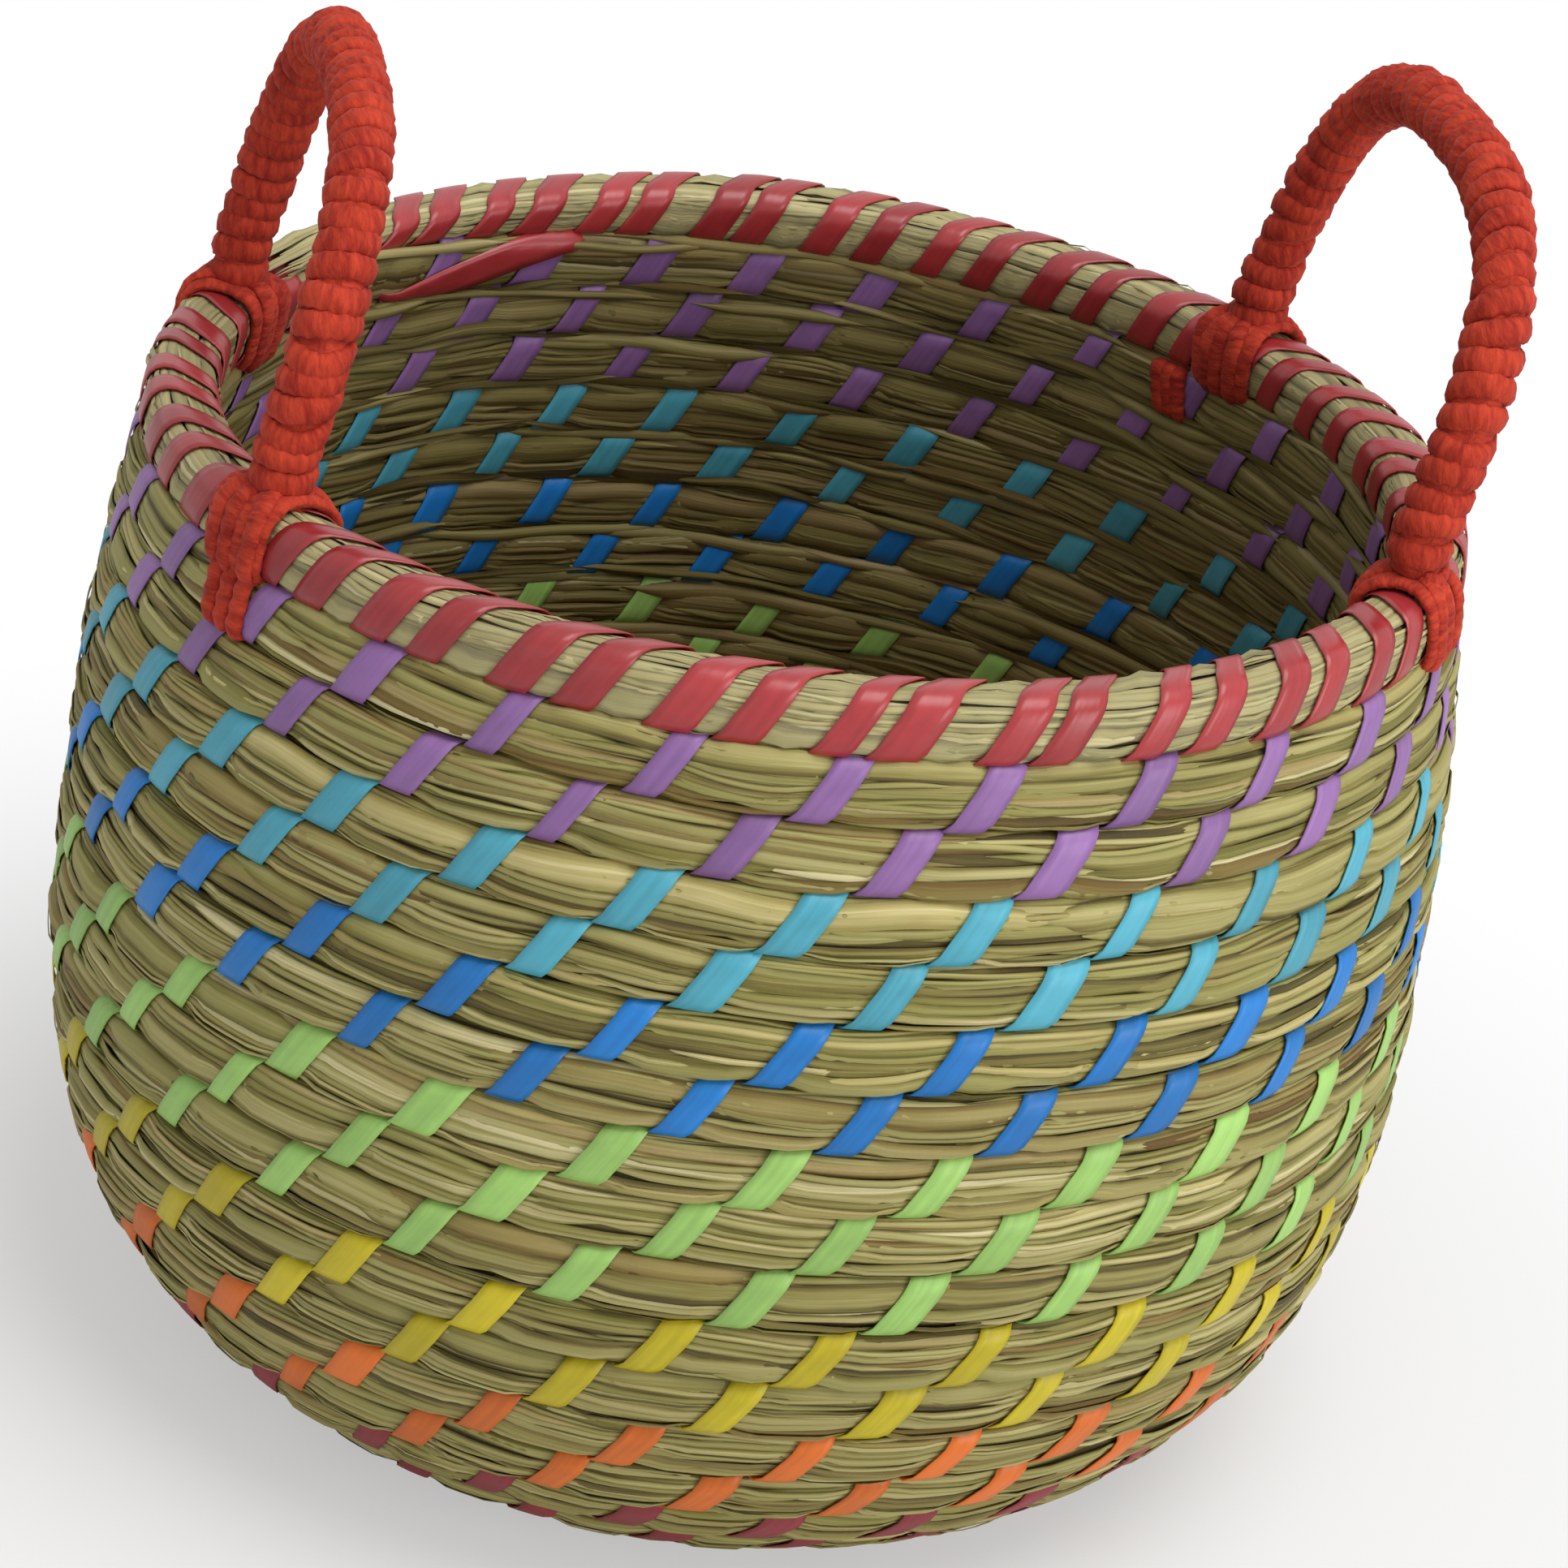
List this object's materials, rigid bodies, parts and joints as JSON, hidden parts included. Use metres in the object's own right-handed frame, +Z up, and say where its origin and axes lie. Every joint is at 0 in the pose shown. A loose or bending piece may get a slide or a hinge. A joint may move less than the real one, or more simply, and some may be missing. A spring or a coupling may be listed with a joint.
{
  "type": "handled basket",
  "caption": "Round coiled seagrass basket with a rounded base, coloured binding strips in bands up the wall, and upright wound rope handles lashed to the rim.",
  "frame": {"origin": "middle of the underside, on the surface that the basket stands on", "axes": "+Z up through the open top, handles at -X and +X, the front of the picture towards -Y"},
  "size_m": [0.2469, 0.2468, 0.2476],
  "materials": {
    "seagrass": "dry fibrous grass",
    "rim_strip_coral": "flat semi-gloss strip",
    "wall_strip_purple": "flat semi-gloss strip",
    "wall_strip_teal": "flat semi-gloss strip",
    "wall_strip_blue": "flat semi-gloss strip",
    "wall_strip_green": "flat semi-gloss strip",
    "wall_strip_yellow": "flat semi-gloss strip",
    "wall_strip_orange": "flat semi-gloss strip",
    "wall_strip_dark_pink": "flat semi-gloss strip",
    "rope": "rough natural fibre",
    "yarn": "thick soft yarn"
  },
  "bodies": {
    "basket": {"seagrass_coil": "seagrass", "rim_strip_coral": "rim_strip_coral", "wall_strip_purple": "wall_strip_purple", "wall_strip_teal": "wall_strip_teal", "wall_strip_blue": "wall_strip_blue", "wall_strip_green": "wall_strip_green", "wall_strip_yellow": "wall_strip_yellow", "wall_strip_orange": "wall_strip_orange", "wall_strip_dark_pink": "wall_strip_dark_pink", "left_front_lashing": "yarn", "left_back_lashing": "yarn", "right_front_lashing": "yarn", "right_back_lashing": "yarn"},
    "left_handle": {"left_handle_core": "rope", "left_handle_winding": "yarn"},
    "right_handle": {"right_handle_core": "rope", "right_handle_winding": "yarn"}
  },
  "joints": [
    {"name": "left_handle_flex", "type": "hinge", "parent": "basket", "child": "left_handle", "pos_m": [-0.09671, 0, 0.18235], "axis": [0, 1, 0], "range_deg": [-41.5, 18.5], "stiffness_Nm_per_rad": 0.15},
    {"name": "right_handle_flex", "type": "hinge", "parent": "basket", "child": "right_handle", "pos_m": [0.09213, -0.00402, 0.18781], "axis": [0.0436, 0.999, 0], "range_deg": [-41.5, 18.5], "stiffness_Nm_per_rad": 0.15}
  ]
}
